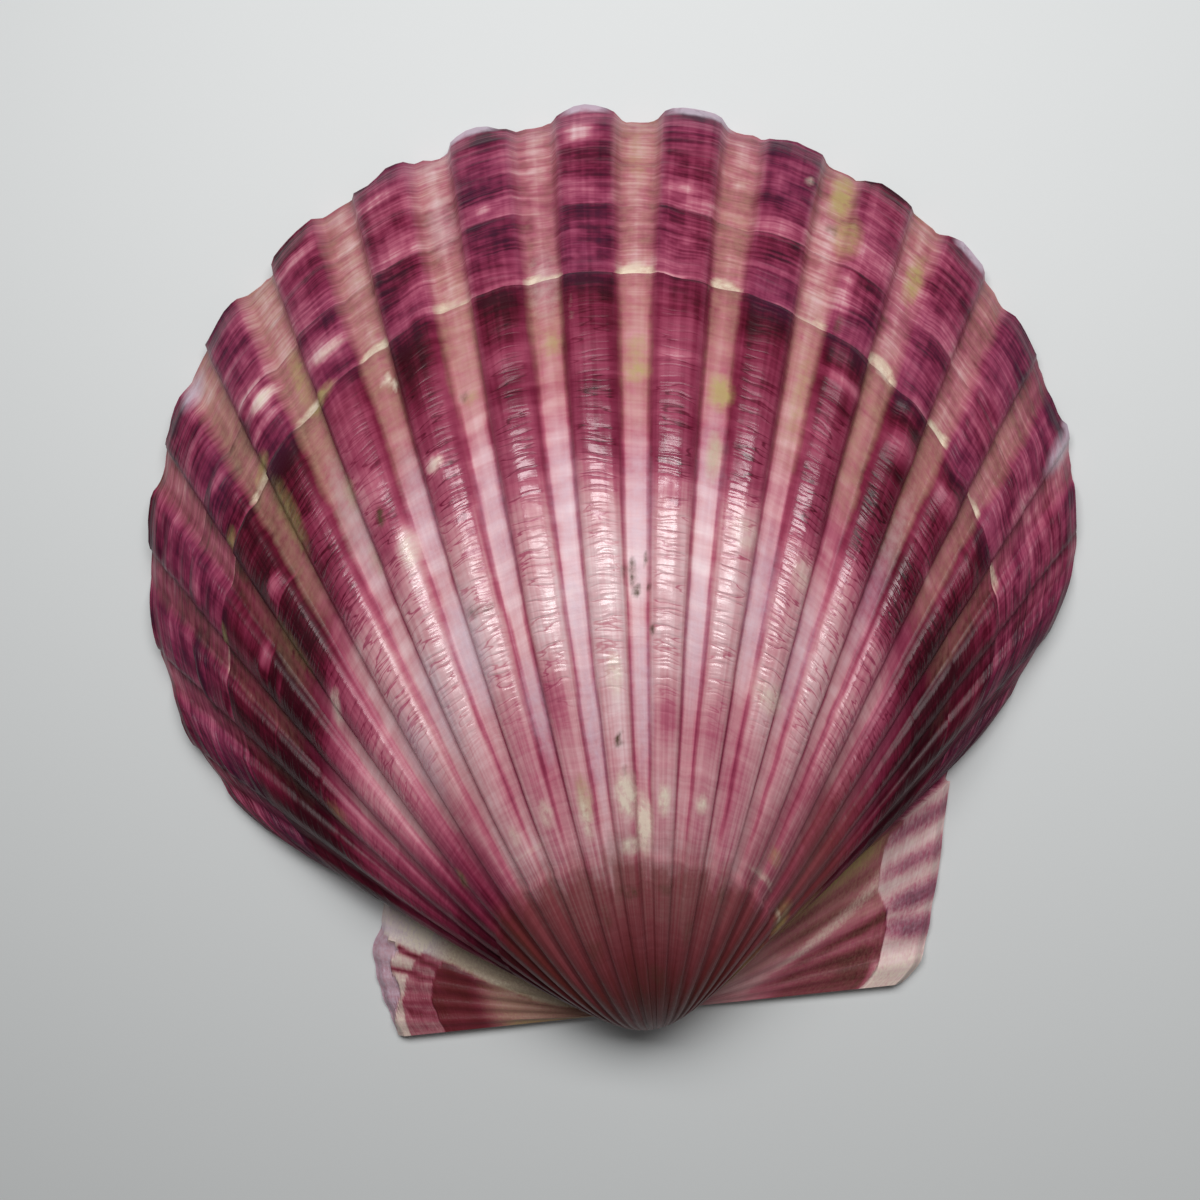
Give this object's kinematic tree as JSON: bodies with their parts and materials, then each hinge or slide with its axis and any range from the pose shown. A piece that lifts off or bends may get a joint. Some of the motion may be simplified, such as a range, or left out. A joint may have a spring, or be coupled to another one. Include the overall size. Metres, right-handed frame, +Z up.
{
  "type": "scallop shell valve",
  "caption": "One valve of a bay scallop shell: a domed, ribbed fan with two unequal ears along a straight hinge line, hollow underneath.",
  "frame": {"origin": "middle of the valve's bounding box in plan, on the plane the valve rests on", "axes": "+X along the straight hinge line from the small ear to the large ear, +Y from the hinge to the ribbed margin, +Z up out of the ribbed outside"},
  "size_m": [0.0808, 0.0778, 0.017],
  "materials": {
    "shell_calcite": "satin shell, plum and pink ribs with pale furrows"
  },
  "bodies": {
    "root": {"valve": "shell_calcite"}
  },
  "joints": []
}
